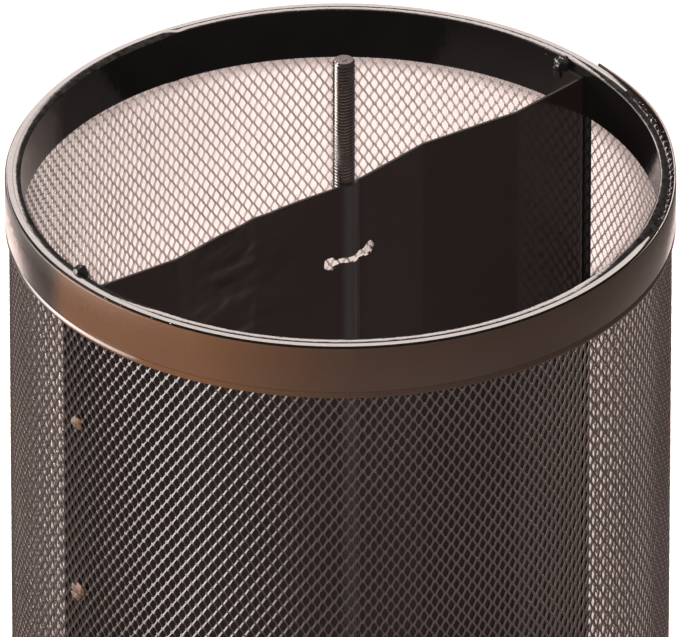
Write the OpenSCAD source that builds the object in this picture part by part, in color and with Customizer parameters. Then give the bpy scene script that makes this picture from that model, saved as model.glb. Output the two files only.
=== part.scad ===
/* [Body] */
// Height from the floor to the top of the rim
body_h = 600; // [400:5:800]
// Diameter over the outer bands
body_d = 240; // [190:1:320]
// Thickness of the expanded mesh wall
mesh_t = 1.5; // [1:0.1:3]
// Gap between pieces that are pressed or welded together
seat_gap = 0.15; // [0.1:0.05:0.3]

/* [Hoops and bands] */
// Thickness of the flat bar that the inner hoops are rolled from
hoop_t = 3; // [2:0.5:5]
// Height of the inner hoops
hoop_h = 20; // [12:1:40]
// Thickness of the outer bands
band_t = 1; // [0.6:0.1:2]
// Height of the outer bands
band_h = 17.5; // [10:0.5:36]
// How far the mesh and the outer band stop short of the hoop's edge
edge_step = 1; // [0.5:0.1:2]
// Angle of the outer band's overlap at its joint
lap_deg = 30; // [15:1:45]
// Angle of the inner end that runs on under the overlap
tongue_deg = 8; // [4:1:12]
// How far the free end of the band stands off the layer under it
lap_lift = 1; // [0.3:0.1:1.5]

/* [Side bars and divider] */
// Width of the two upright bars between the hoops
bar_w = 16; // [10:1:24]
// How far each bar reaches past the divider's plane to the front
bar_front = 1; // [0:0.5:3]
// Thickness of the divider sheet
divider_t = 1; // [0.8:0.1:2]
// How far the divider's top lies below the rim
divider_drop = 3.5; // [1:0.5:20]
// Distance along the divider from one fold to the next
fold_pitch = 39.5; // [30:0.5:44]
// How far the outer folds lie in front of the bin's axis
fold_front = 4; // [2:0.5:5]
// How far the inner folds lie behind the bin's axis
fold_back = 1; // [0:0.5:2]
// How far the swage round the stud stands out from the sheet beside it
swage_depth = 1.7; // [1.2:0.1:2.5]
// How far the divider's ends lie in front of the bin's axis
end_front = 0.4; // [0:0.1:1]
// Width of the divider's end flanges
flange_w = 14; // [8:1:20]
// Width of the flat strip on each side of the swage
swage_edge = 0.8; // [0.5:0.1:3]

/* [Slot in the divider] */
// Depth of the slot below the rim
slot_drop = 34; // [20:0.5:60]
// Distance between the slot's two relief holes
slot_pitch = 17.8; // [14:0.2:24]
// Diameter of the relief holes
slot_hole_d = 3.8; // [2.5:0.1:6]
// Height of the slit between them
slit_h = 1.3; // [0.8:0.1:2]

/* [Stud] */
// Diameter of the threaded stud
stud_d = 8; // [6:1:10]
// Length of the stud
stud_l = 80; // [60:5:110]
// Distance of the stud from the bin's axis, along the divider
stud_x = 1.5; // [0:0.5:5]
// Clearance between the stud and the swage around it
stud_fit = 0.2; // [0.1:0.05:0.4]
// How far the stud's lower end reaches into the slit
stud_dip = 0.2; // [0:0.1:0.6]
// How much thinner the stud is where it is welded, on the radius
shank_step = 0.3; // [0.2:0.1:0.8]
// Height of this thinner part above the divider
shank_rise = 1; // [0.5:0.5:4]
// Chamfer on the stud's upper end
stud_chamfer = 0.8; // [0.3:0.1:1.2]
// Length of each weld bead behind the stud
stud_bead_l = 11; // [6:1:14]

/* [Welds] */
// Radius of the beads at the divider's top corners
corner_bead_r = 3.4; // [2:0.1:5]
// Distance of these beads behind the divider's ends, along the wall
corner_off = 10; // [5:0.5:14]
// Distance of the wall welds behind the divider's ends, along the wall
seam_off = 5; // [3:0.5:12]
// Depth of the first wall weld below the rim
seam_first = 61; // [40:1:90]
// Distance from one wall weld to the next
seam_pitch = 70.5; // [50:0.5:120]
// Diameter of a wall weld
seam_weld_d = 5.2; // [3:0.1:7]
// Height of a wall weld over the mesh
seam_weld_h = 0.6; // [0.3:0.1:1]
// Number of beads that hold the base disc
base_beads = 6; // [4:2:8]
// Leg of a base bead
base_bead = 2; // [1:0.5:3]
// Length of a base bead
base_bead_l = 12; // [6:1:20]

/* [Base and feet] */
// Height of the rubber feet
foot_h = 12; // [8:1:25]
// Diameter of the rubber feet
foot_d = 24; // [18:1:36]
// Distance of the feet's middles from the base disc's edge
foot_inset = 24; // [20:1:40]
// Thickness of the base disc
base_t = 1.5; // [1:0.1:3]
// Gap between the base disc and the divider and pans that stand on it
base_gap = 0.3; // [0.2:0.1:1]
// Height of the base disc's turned-up edge
base_edge_h = 12; // [8:1:18]
// Diameter of the foot screws
screw_d = 5; // [4:1:6]
// Clearance of the screws in their holes, on the radius
screw_fit = 0.2; // [0.1:0.05:0.5]

/* [Ash pans] */
// Gap between the pans and the swage or the folds beside them
pan_clear = 2.8; // [1.5:0.1:6]
// Height of the pans
pan_h = 60; // [40:1:120]
// Sheet thickness of the pans
pan_t = 1; // [0.6:0.1:2]
// Gap between the foot screws and the pans' floors
floor_clear = 2.8; // [1:0.1:6]
// Gap between the pan's lip and the inner hoop
pan_gap = 7.2; // [6:0.1:14]
// Width of the pan's lip
lip_w = 2; // [1:0.5:4]
// Diameter of the handle wire
wire_d = 5; // [3:0.5:8]
// Distance between the handle's legs
handle_w = 80; // [50:1:120]
// Height of the handle above the pan's lip
handle_up = 50; // [30:1:90]
// Length of the handle's legs below the lip
handle_down = 34; // [15:1:36]
// Bend radius of the handle wire
handle_bend = 12; // [8:1:20]

/* [Hidden] */
$fn = 96;

// A small overrun that lets a cut pass through a face
over = 1;

// Half the width of a circle's cap of the given height
function chord(r, cap) = sqrt(r * r - (r - cap) * (r - cap));

// The angle of an arc of the given length
function arc_deg(arc, r) = arc / r * 180 / PI;

// Radii from the outside in
band_ro = body_d / 2;
band_ri = band_ro - band_t;
mesh_ro = band_ri - seat_gap;
mesh_ri = mesh_ro - mesh_t;
hoop_ro = mesh_ri - seat_gap;
hoop_ri = hoop_ro - hoop_t;
flange_ro = hoop_ri - seat_gap;
flange_ri = flange_ro - divider_t;

// Heights from the floor up
base_z = foot_h;
base_top = base_z + base_t;
bottom_hoop_top = base_z + hoop_h;
top_hoop_z = body_h - hoop_h;
top_band_z = body_h - edge_step - band_h;
bottom_band_z = base_z + edge_step;
mesh_top = body_h - edge_step;
base_edge_top = base_z + base_edge_h;

// Divider, measured from the bin's axis
divider_top = body_h - divider_drop;
divider_z = base_top + base_gap;
slot_z = body_h - slot_drop;
stud_r = stud_d / 2;
swage_ri = stud_r + stud_fit;
swage_ro = swage_ri + divider_t;
swage_flat = swage_ro + swage_edge;
flat_front = swage_ro - swage_depth - divider_t / 2;
swage_join = (chord(swage_ri, swage_depth) + chord(swage_ro, swage_depth)) / 2;
flange_deg = arc_deg(flange_w, flange_ro);
base_clear_r = flange_ro - base_t - base_gap;

// Stud, whose lower end stops at the slot
stud_z = slot_z + slit_h / 2 - stud_dip;
shank_r = stud_r - shank_step;
shank_top = divider_top + shank_rise;

// Upright bars
bar_from = -arc_deg(bar_front, hoop_ro);
bar_to = arc_deg(bar_w, hoop_ro) + bar_from;
seam_deg = arc_deg(seam_off, mesh_ro);
corner_deg = arc_deg(corner_off, flange_ro);
seam_lowest = max(bottom_hoop_top, bottom_band_z + band_h) + seam_weld_d;
seam_count = floor((body_h - seam_first - seam_lowest) / seam_pitch);

// Feet, set in from the base disc's edge
foot_r = flange_ro - foot_inset;

// Fasteners of the feet, in proportion to the screw
screw_r = screw_d / 2;
hole_r = screw_r + screw_fit;
head_r = screw_d * 0.95;
head_h = screw_d * 0.66;
head_z = foot_h * 0.4 - head_h;
washer_r = screw_d;
washer_t = screw_d * 0.2;
nut_r = screw_d * 0.8 / cos(30);
nut_h = screw_d * 0.8;
nut_z = base_top + washer_t;
screw_top = nut_z + nut_h + 1;

// Ash pans
lip_ro = hoop_ri - pan_gap;
pan_ro = lip_ro - lip_w;
pan_z = base_top + base_gap;
pan_y = max(swage_ro, fold_front + divider_t / 2) + pan_clear;
pan_floor = screw_top + floor_clear - pan_z;
pan_top = pan_z + pan_h;
wire_r = wire_d / 2;
handle_y = pan_y + pan_t + seat_gap + wire_r;

// A pie slice between two angles, up to a half turn wide, that reaches past the radius r
module slice(from, to, r) {
    reach = 2 * r;
    middle = (from + to) / 2;
    polygon([
        [0, 0],
        reach * [cos(from), sin(from)],
        reach * [cos(middle), sin(middle)],
        reach * [cos(to), sin(to)]
    ]);
}

module ring(ro, ri) {
    difference() {
        circle(r = ro);
        circle(r = ri);
    }
}

// A stretch of a ring between two angles
module arc_strip(ro, ri, from, to) {
    intersection() {
        ring(ro, ri);
        slice(from, to, ro);
    }
}

module tube(ro, ri, h) {
    linear_extrude(h) ring(ro, ri);
}

// An outer band: a ring whose free end overlaps the other end on a joggle
module band() {
    joggle_deg = arc_deg(band_t, band_ro);
    linear_extrude(band_h) {
        difference() {
            ring(band_ro, band_ri);
            slice(-lap_deg, -tongue_deg, band_ro);
        }
        arc_strip(band_ro + lap_lift + band_t, band_ri, -lap_deg - joggle_deg, -lap_deg + joggle_deg);
        arc_strip(band_ro + lap_lift + band_t, band_ro + lap_lift, -lap_deg, 0);
    }
}

module top_hoop() {
    color([0.10, 0.09, 0.09]) translate([0, 0, top_hoop_z]) tube(hoop_ro, hoop_ri, hoop_h);
}

module top_band() {
    color([0.33, 0.27, 0.25]) translate([0, 0, top_band_z]) band();
}

module mesh_wall() {
    color([0.45, 0.38, 0.36]) translate([0, 0, bottom_band_z])
        tube(mesh_ro, mesh_ri, mesh_top - bottom_band_z);
}

module bottom_hoop() {
    color([0.10, 0.09, 0.09]) translate([0, 0, base_z]) tube(hoop_ro, hoop_ri, hoop_h);
}

module bottom_band() {
    color([0.33, 0.27, 0.25]) translate([0, 0, bottom_band_z]) band();
}

// An upright bar on the right, behind the divider's plane
module side_bar() {
    translate([0, 0, bottom_hoop_top + seat_gap])
        linear_extrude(top_hoop_z - bottom_hoop_top - 2 * seat_gap)
            arc_strip(hoop_ro, hoop_ri, bar_from, bar_to);
}

module left_side_bar() {
    color([0.12, 0.11, 0.11]) mirror([1, 0, 0]) side_bar();
}

module right_side_bar() {
    color([0.12, 0.11, 0.11]) side_bar();
}

// The divider's middle line on one side of the stud, from the stud to the wall
function panel_line(side) = [
    [stud_x + side * swage_join, -flat_front],
    [stud_x + side * swage_flat, -flat_front],
    [side * fold_pitch, fold_back],
    [side * 2 * fold_pitch, -fold_front],
    [side * (flange_ro - divider_t / 2), -end_front]
];

// The folded panels on one side of the stud
module panels(side, h) {
    line = panel_line(side);
    last = len(line) - 1;
    half = [0, divider_t / 2];
    linear_extrude(h) polygon(concat(
        [for (p = line) p + half],
        [for (i = [0:last]) line[last - i] - half]
    ));
}

// The half round that is pressed into the sheet for the stud
module swage(h) {
    translate([stud_x, 0, 0]) difference() {
        cylinder(r = swage_ro, h = h);
        translate([0, 0, -over]) cylinder(r = swage_ri, h = h + 2 * over);
        translate([-swage_ro - over, divider_t / 2 - flat_front, -over])
            cube([2 * (swage_ro + over), 2 * swage_ro, h + 2 * over]);
    }
}

module end_flange(h) {
    front_deg = arc_deg(end_front + divider_t / 2, flange_ro);
    linear_extrude(h) arc_strip(flange_ro, flange_ri, -front_deg, flange_deg);
}

module slot_cut() {
    for (side = [-1, 1])
        translate([side * slot_pitch / 2, 0, 0]) rotate([90, 0, 0])
            cylinder(d = slot_hole_d, h = 4 * swage_ro, center = true);
    translate([-slot_pitch / 2, -2 * swage_ro, -slit_h / 2])
        cube([slot_pitch, 4 * swage_ro, slit_h]);
}

module divider() {
    sheet_h = divider_top - divider_z;
    color([0.09, 0.08, 0.08]) difference() {
        translate([0, 0, divider_z]) union() {
            swage(sheet_h);
            panels(1, sheet_h);
            panels(-1, sheet_h);
            end_flange(sheet_h);
            mirror([1, 0, 0]) end_flange(sheet_h);
        }
        translate([stud_x, 0, slot_z]) slot_cut();
        translate([0, 0, divider_z - over])
            tube(flange_ro + over, base_clear_r, base_edge_top + base_gap + over - divider_z);
    }
}

module stud() {
    chamfer_z = stud_z + stud_l - stud_chamfer;
    color([0.62, 0.62, 0.64]) translate([stud_x, 0, 0]) {
        translate([0, 0, stud_z]) cylinder(r = shank_r, h = shank_top - stud_z);
        translate([0, 0, shank_top]) cylinder(r = stud_r, h = chamfer_z - shank_top);
        translate([0, 0, chamfer_z])
            cylinder(r1 = stud_r, r2 = stud_r - stud_chamfer, h = stud_chamfer);
    }
}

// Fillet beads between the stud and the divider's rear face, two on each side
module stud_welds() {
    inner = shank_r + 2 * seat_gap;
    foot = divider_t / 2 - flat_front + seat_gap;
    leg = swage_flat - inner;
    grip = divider_top - stud_z;
    color([0.16, 0.15, 0.15]) translate([stud_x, 0, 0])
        for (side = [0, 1], at = [0.25, 0.75])
            mirror([side, 0, 0]) translate([0, 0, stud_z + grip * at - stud_bead_l / 2])
                linear_extrude(stud_bead_l)
                    polygon([[inner, foot], [inner + leg, foot], [inner, foot + leg]]);
}

// Beads on the divider's flanges that tie them to the top hoop
module corner_welds() {
    rise = corner_bead_r / 3;
    color([0.11, 0.10, 0.10]) for (side = [0, 1]) mirror([side, 0, 0])
        rotate([0, 0, corner_deg]) translate([flange_ro - seat_gap, 0, divider_top + rise])
            intersection() {
                sphere(r = corner_bead_r);
                translate([-2 * corner_bead_r, -corner_bead_r, seat_gap - rise])
                    cube([2 * corner_bead_r, 2 * corner_bead_r, 2 * corner_bead_r]);
            }
}

// Welds through the mesh into the side bars
module seam_welds() {
    color([0.45, 0.30, 0.20]) for (side = [0, 1], i = [0:seam_count])
        mirror([side, 0, 0]) rotate([0, 0, seam_deg])
            translate([mesh_ro + seat_gap, 0, body_h - seam_first - i * seam_pitch])
                rotate([0, 90, 0]) cylinder(d = seam_weld_d, h = seam_weld_h);
}

// Places a child at each foot
module at_feet() {
    for (i = [0:3]) rotate([0, 0, 45 + 90 * i]) translate([foot_r, 0, 0]) children();
}

module base_disc() {
    color([0.12, 0.11, 0.11]) difference() {
        translate([0, 0, base_z]) cylinder(r = flange_ro, h = base_edge_h);
        translate([0, 0, base_top]) cylinder(r = flange_ro - base_t, h = base_edge_h);
        at_feet() translate([0, 0, base_z - over]) cylinder(r = hole_r, h = base_t + 2 * over);
    }
}

// Short fillets on the base disc's edge, against the bottom hoop
module base_welds() {
    half_deg = arc_deg(base_bead_l / 2, flange_ro);
    color([0.16, 0.15, 0.15]) for (i = [1:base_beads])
        rotate([0, 0, (i - 0.5) * 360 / base_beads])
            translate([0, 0, base_edge_top + seat_gap]) linear_extrude(base_bead)
                arc_strip(flange_ro, flange_ro - base_bead, -half_deg, half_deg);
}

module rubber_feet() {
    color([0.06, 0.06, 0.06]) at_feet() difference() {
        cylinder(d = foot_d, h = foot_h);
        translate([0, 0, -over]) cylinder(r = hole_r, h = foot_h + 2 * over);
        translate([0, 0, -over]) cylinder(r = head_r + 3 * screw_fit, h = head_z + head_h + over);
    }
}

module foot_screws() {
    color([0.62, 0.62, 0.64]) at_feet() {
        translate([0, 0, head_z]) cylinder(r = head_r, h = head_h);
        translate([0, 0, head_z + head_h / 2]) cylinder(r = screw_r, h = screw_top - head_z - head_h / 2);
    }
}

module foot_washers() {
    color([0.65, 0.65, 0.66]) at_feet() translate([0, 0, base_top]) difference() {
        cylinder(r = washer_r, h = washer_t);
        translate([0, 0, -over]) cylinder(r = hole_r, h = washer_t + 2 * over);
    }
}

module foot_nuts() {
    color([0.62, 0.62, 0.64]) at_feet() translate([0, 0, nut_z]) difference() {
        cylinder(r = nut_r, h = nut_h, $fn = 6);
        translate([0, 0, -over]) cylinder(r = screw_r + screw_fit / 2, h = nut_h + 2 * over);
    }
}

// The half disc behind the line y = edge
module half_disc(r, edge) {
    intersection() {
        circle(r = r);
        translate([-r, edge]) square([2 * r, r]);
    }
}

// A half-round tray on a skirt, with a lip round its curved wall
module ash_pan() {
    translate([0, 0, pan_z]) linear_extrude(pan_h) difference() {
        half_disc(pan_ro, pan_y);
        half_disc(pan_ro - pan_t, pan_y + pan_t);
    }
    translate([0, 0, pan_z + pan_floor]) linear_extrude(pan_t)
        half_disc(pan_ro - pan_t / 2, pan_y + pan_t / 2);
    translate([0, 0, pan_top - pan_t]) linear_extrude(pan_t) difference() {
        half_disc(lip_ro, pan_y);
        half_disc(pan_ro - pan_t, pan_y + pan_t);
    }
}

// A wire loop that stands on the inside of the pan's flat wall
module pan_handle() {
    leg_x = handle_w / 2;
    leg_z = pan_top - handle_down;
    bend_z = pan_top + handle_up - wire_r - handle_bend;
    translate([0, handle_y, 0]) {
        for (side = [0, 1]) mirror([side, 0, 0]) {
            translate([leg_x, 0, leg_z]) cylinder(r = wire_r, h = bend_z - leg_z);
            translate([leg_x - handle_bend, 0, bend_z]) rotate([90, 0, 0])
                rotate_extrude(angle = 90) translate([handle_bend, 0]) circle(r = wire_r);
        }
        translate([handle_bend - leg_x, 0, bend_z + handle_bend]) rotate([0, 90, 0])
            cylinder(r = wire_r, h = handle_w - 2 * handle_bend);
    }
}

module front_ash_pan() {
    color([0.55, 0.55, 0.56]) mirror([0, 1, 0]) ash_pan();
}

module rear_ash_pan() {
    color([0.55, 0.55, 0.56]) ash_pan();
}

module front_pan_handle() {
    color([0.60, 0.60, 0.62]) mirror([0, 1, 0]) pan_handle();
}

module rear_pan_handle() {
    color([0.60, 0.60, 0.62]) pan_handle();
}

top_hoop();
top_band();
mesh_wall();
bottom_hoop();
bottom_band();
left_side_bar();
right_side_bar();
divider();
stud();
stud_welds();
corner_welds();
seam_welds();
base_disc();
base_welds();
rubber_feet();
foot_screws();
foot_washers();
foot_nuts();
front_ash_pan();
rear_ash_pan();
front_pan_handle();
rear_pan_handle();
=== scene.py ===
"""The looks of the ashtray bin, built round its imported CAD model. Metres throughout."""
import math
import random

import bmesh
import bpy
import numpy as np
from mathutils import Matrix, Vector, noise


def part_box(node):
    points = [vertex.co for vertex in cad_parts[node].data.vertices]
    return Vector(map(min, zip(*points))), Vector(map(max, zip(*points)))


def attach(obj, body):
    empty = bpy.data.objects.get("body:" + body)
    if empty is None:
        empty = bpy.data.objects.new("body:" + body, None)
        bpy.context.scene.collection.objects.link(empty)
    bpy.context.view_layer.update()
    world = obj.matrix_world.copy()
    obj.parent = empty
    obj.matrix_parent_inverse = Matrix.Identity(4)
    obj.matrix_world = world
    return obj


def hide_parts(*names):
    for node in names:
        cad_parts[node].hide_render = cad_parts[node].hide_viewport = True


MM = 0.001
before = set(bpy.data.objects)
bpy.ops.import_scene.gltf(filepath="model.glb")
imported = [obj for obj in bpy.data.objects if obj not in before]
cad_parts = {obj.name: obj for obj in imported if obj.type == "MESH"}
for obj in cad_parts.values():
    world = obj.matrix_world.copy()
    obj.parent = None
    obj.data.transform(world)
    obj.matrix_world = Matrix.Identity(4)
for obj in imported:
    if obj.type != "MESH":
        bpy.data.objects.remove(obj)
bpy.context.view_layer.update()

# ---- sizes, from the CAD nodes' boxes
hoop_low, hoop_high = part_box("top_hoop")
foot_hoop_low, foot_hoop_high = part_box("bottom_hoop")
band_low, band_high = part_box("top_band")
foot_band_low, foot_band_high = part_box("bottom_band")
wall_low, wall_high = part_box("mesh_wall")
sheet_low, sheet_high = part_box("divider")
stud_low, stud_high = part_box("stud")
disc_low, disc_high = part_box("base_disc")
feet_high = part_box("rubber_feet")[1]
screw_low, screw_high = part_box("foot_screws")
washer_low, washer_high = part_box("foot_washers")
nut_low, nut_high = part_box("foot_nuts")
pan_low, pan_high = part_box("rear_ash_pan")
wire_low, wire_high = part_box("rear_pan_handle")

RIM_Z = hoop_high.z
HOOP_R = hoop_high.x
HOOP_T = 3 * MM
BAND_R = -band_low.x
BAND_T = 1 * MM
LAP_OUT = band_high.x - BAND_R
WALL_R = wall_high.x
WALL_T = 1.5 * MM
SHEET_R = sheet_high.x
SHEET_T = 1 * MM
STUD_X = (stud_low.x + stud_high.x) / 2
STUD_R = (stud_high.x - stud_low.x) / 2
FOOT_RADIUS = 12 * MM
FOOT_RING = (feet_high.x - FOOT_RADIUS) * math.sqrt(2)
SCREW_R = 2.5 * MM
VIEW_TURN, VIEW_RISE = math.radians(-40), math.radians(31.3)


# ---- mesh helpers
def link(name, data):
    obj = bpy.data.objects.new(name, data)
    bpy.context.scene.collection.objects.link(obj)
    return obj


def to_bmesh(verts, faces, merge=1e-6):
    bm = bmesh.new()
    made = [bm.verts.new(v) for v in verts]
    for f in faces:
        bm.faces.new([made[i] for i in f])
    bmesh.ops.remove_doubles(bm, verts=bm.verts, dist=merge)
    return bm


def from_bmesh(name, bm):
    mesh = bpy.data.meshes.new(name)
    bm.to_mesh(mesh)
    bm.free()
    return mesh


def to_mesh(name, verts, faces):
    """A mesh from points and faces, with its doubles merged and its faces turned outwards."""
    bm = to_bmesh(verts, faces)
    bmesh.ops.recalc_face_normals(bm, faces=bm.faces)
    return from_bmesh(name, bm)


def applied(obj, modifier):
    """Makes the object's mesh what its one modifier gives, and removes the modifier."""
    graph = bpy.context.evaluated_depsgraph_get()
    made = bpy.data.meshes.new_from_object(obj.evaluated_get(graph), depsgraph=graph)
    obj.modifiers.remove(modifier)
    obj.data = made
    return made


def loft(rings, around, ring_loop=False, point_loop=True):
    """The quads between neighbouring rings of points. Either direction can close on itself."""
    faces = []
    for q in range(rings if ring_loop else rings - 1):
        p = (q + 1) % rings
        for s in range(around if point_loop else around - 1):
            t = (s + 1) % around
            faces.append((q * around + s, p * around + s, p * around + t, q * around + t))
    return faces


def settle(obj, mat, body, nodes=(), sharp=32):
    """Gives a finished piece its material, its smooth shading and its place in the frame."""
    obj.data.materials.clear()
    obj.data.materials.append(mat)
    obj.data.shade_smooth()
    obj.data.set_sharp_from_angle(angle=math.radians(sharp))
    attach(obj, body)
    if nodes:
        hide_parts(*nodes)
    return obj


def rounded(corners, steps=4):
    """A closed outline of (x, y, radius) corners with each corner rounded to its radius."""
    out = []
    count = len(corners)
    for i, (x, y, r) in enumerate(corners):
        here = Vector((x, y))
        a = (Vector(corners[i - 1][:2]) - here).normalized()
        b = (Vector(corners[(i + 1) % count][:2]) - here).normalized()
        if r <= 0:
            out.append((x, y))
            continue
        half = a.angle(b) / 2
        reach = r / math.tan(half)
        middle = here + (a + b).normalized() * (r / math.sin(half))
        start, end = here + a * reach - middle, here + b * reach - middle
        turn = start.angle_signed(end)
        for k in range(steps + 1):
            v = start.copy()
            v.rotate(Matrix.Rotation(-turn * k / steps, 2))
            out.append(tuple(middle + v))
    return out


def revolve(outline, seg=64, closed=True, centre=(0, 0)):
    """Turns an outline of (r, z) points round the vertical line through centre."""
    verts, n = [], len(outline)
    for s in range(seg):
        c, d = math.cos(2 * math.pi * s / seg), math.sin(2 * math.pi * s / seg)
        verts += [(centre[0] + r * c, centre[1] + r * d, z) for r, z in outline]
    faces = loft(seg, n, True, closed)
    if not closed:
        for i in (0, n - 1):
            if outline[i][0] > 1e-7:
                faces.append([s * n + i for s in range(seg)])
    return verts, faces


def wobble(p, size, scale, seed=0.0):
    """Smooth noise in -size..size at a point."""
    return size * noise.noise(Vector(p) * scale + Vector((seed, seed * 1.7, -seed)))


def clamp(t):
    return min(1.0, max(0.0, t))


def signed(angle):
    """The same angle between minus half a turn and half a turn."""
    return (angle + math.pi) % (2 * math.pi) - math.pi


def attribute(mesh, name, values):
    a = mesh.attributes.new(name, "FLOAT", "POINT")
    a.data.foreach_set("value", np.asarray(values, np.float32))


def positions(mesh):
    co = np.empty(len(mesh.vertices) * 3, np.float32)
    mesh.vertices.foreach_get("co", co)
    return co.reshape(-1, 3)


# ---- materials
def add_node(tree, kind, inputs=None, **props):
    """Adds a node to a tree. An input is wired where it is given a socket, and set where it is given a value."""
    node = tree.nodes.new(kind)
    for k, v in props.items():
        setattr(node, k, v)
    for k, v in (inputs or {}).items():
        if isinstance(v, bpy.types.NodeSocket):
            tree.links.new(v, node.inputs[k])
        else:
            node.inputs[k].default_value = v
    return node


class Finish:
    """A material on the Principled shader, built a node at a time."""

    def __init__(self, name):
        self.mat = bpy.data.materials.new(name)
        self.mat.use_nodes = True
        self.tree = self.mat.node_tree
        self.shader = self.tree.nodes["Principled BSDF"]
        self.place = self.add("ShaderNodeTexCoord").outputs["Object"]

    def add(self, kind, inputs=None, **props):
        return add_node(self.tree, kind, inputs, **props)

    def noise(self, scale, detail=2.0, rough=0.5, place=None):
        return self.add("ShaderNodeTexNoise", {
            "Vector": place or self.place, "Scale": scale, "Detail": detail, "Roughness": rough
        }).outputs["Fac"]

    def stretch(self, scale):
        return self.add("ShaderNodeMapping", {"Vector": self.place, "Scale": scale}).outputs["Vector"]

    def spread(self, value, low, high, to_low=0.0, to_high=1.0):
        return self.add("ShaderNodeMapRange", {
            "Value": value, "From Min": low, "From Max": high, "To Min": to_low, "To Max": to_high
        }).outputs["Result"]

    def math(self, how, a, b):
        return self.add("ShaderNodeMath", {0: a, 1: b}, operation=how).outputs[0]

    def mix(self, fac, a, b):
        return self.add("ShaderNodeMix", {0: fac, 6: a, 7: b}, data_type="RGBA").outputs[2]

    def own(self, name):
        return self.add("ShaderNodeAttribute", attribute_name=name).outputs["Fac"]

    def up(self):
        normal = self.add("ShaderNodeNewGeometry").outputs["Normal"]
        return self.add("ShaderNodeSeparateXYZ", {"Vector": normal}).outputs["Z"]

    def vector(self, how, a, b=(0.0, 0.0, 0.0)):
        return self.add("ShaderNodeVectorMath", {0: a, 1: b}, operation=how)

    def inward(self):
        """1 where a face looks at the upright axis, 0 where it looks away from it."""
        level = self.vector("MULTIPLY", self.place, (1.0, 1.0, 0.0)).outputs[0]
        out = self.vector("NORMALIZE", level).outputs[0]
        normal = self.add("ShaderNodeNewGeometry").outputs["Normal"]
        return self.spread(self.vector("DOT_PRODUCT", out, normal).outputs["Value"], 0.1, -0.5)

    def bump(self, height, strength, distance):
        return self.add("ShaderNodeBump", {
            "Height": height, "Strength": strength, "Distance": distance
        }).outputs["Normal"]

    def set(self, **values):
        for k, v in values.items():
            socket = self.shader.inputs[k.replace("_", " ")]
            if isinstance(v, bpy.types.NodeSocket):
                self.tree.links.new(v, socket)
            else:
                socket.default_value = v


def rgb(r, g, b):
    return (r, g, b, 1.0)


def enamel(name, colour, other, rough, ior, peel=0.25, chips=0.0, dust=0.12, edge_rough=0.0, painted_reflection=None,
           inward_painted_light=None):
    """Gloss paint with slow colour change, orange peel, dust on what faces up and chips where it is worn; where
    given, a painted reflection and painted light on the faces that look inward.
    """
    f = Finish(name)
    slow = f.noise(9.0, 3.0)
    fine = f.noise(420.0, 3.0, 0.6)
    base = f.mix(f.spread(slow, 0.35, 0.65), colour, other)
    dusty = f.math("MULTIPLY", f.spread(f.up(), 0.3, 1.0, 0.0, dust), f.spread(fine, 0.3, 0.7))
    base = f.mix(dusty, base, rgb(0.16, 0.14, 0.13))
    # painted reflection: where a mesh carries it, the paint moves towards the given colour
    if painted_reflection:
        base = f.mix(f.math("MULTIPLY", f.own("painted_reflection"), f.spread(slow, 0.25, 0.6, 0.75, 1.0)), base, painted_reflection)
    # painted light: faces that look at the axis are painted lighter, towards the given colour
    if inward_painted_light:
        base = f.mix(f.math("MULTIPLY", f.inward(), f.spread(f.noise(70.0, 3.0), 0.3, 0.7, 0.7, 1.0)), base, inward_painted_light)
    worn = f.own("wear")
    fleck = f.math("MULTIPLY", f.noise(500.0, 4.0, 0.65), 0.6)
    speck = f.math("ADD", fleck, f.math("MULTIPLY", worn, 0.3 * chips))
    chip = f.spread(f.math("MULTIPLY", speck, f.spread(f.noise(60.0, 2.0), 0.3, 0.7, 0.85, 1.1)), 0.60, 0.64)
    f.set(Base_Color=f.mix(chip, base, rgb(0.32, 0.26, 0.24)))
    f.set(Roughness=f.math("ADD", f.spread(fine, 0.25, 0.75, rough * 0.75, rough * 1.35),
                           f.math("ADD", f.math("MULTIPLY", chip, 0.25), f.math("MULTIPLY", worn, edge_rough))))
    height = f.math("SUBTRACT", f.noise(260.0, 2.0), f.math("MULTIPLY", chip, 0.6))
    f.set(Normal=f.bump(height, peel, 0.0002))
    f.set(IOR=ior, Coat_Weight=0.0, Coat_Roughness=0.06)
    return f.mat


def bare_metal(name, colour, other, rough, stained, strength=0.3, dull_top=0.0):
    """Plated or bare steel with fine marks along one way and slow stains."""
    f = Finish(name)
    marks = f.noise(300.0, 4.0, 0.6, f.stretch((1.0, 1.0, 40.0)))
    slow = f.noise(60.0, 4.0, 0.6)
    base = f.mix(f.spread(marks, 0.3, 0.7), colour, other)
    base = f.mix(f.spread(slow, 0.55, 0.75, 0.0, stained), base, rgb(0.16, 0.10, 0.07))
    roughness = f.math("ADD", f.spread(marks, 0.2, 0.8, rough * 0.7, rough * 1.3),
                       f.spread(slow, 0.55, 0.8, 0.0, 0.3))
    f.set(Metallic=1.0)
    if dull_top:
        top = f.spread(f.up(), 0.93, 0.99, 0.0, dull_top)
        dull = f.mix(f.spread(marks, 0.35, 0.65), rgb(0.09, 0.072, 0.068), rgb(0.19, 0.150, 0.140))
        base = f.mix(top, base, dull)
        roughness = f.math("ADD", roughness, f.math("MULTIPLY", top, 0.3))
        f.set(Metallic=f.spread(top, 0.0, 1.0, 1.0, 0.6))
    f.set(Base_Color=base, Roughness=roughness)
    f.set(Normal=f.bump(f.math("ADD", marks, slow), strength, 0.0001))
    return f.mat


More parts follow.
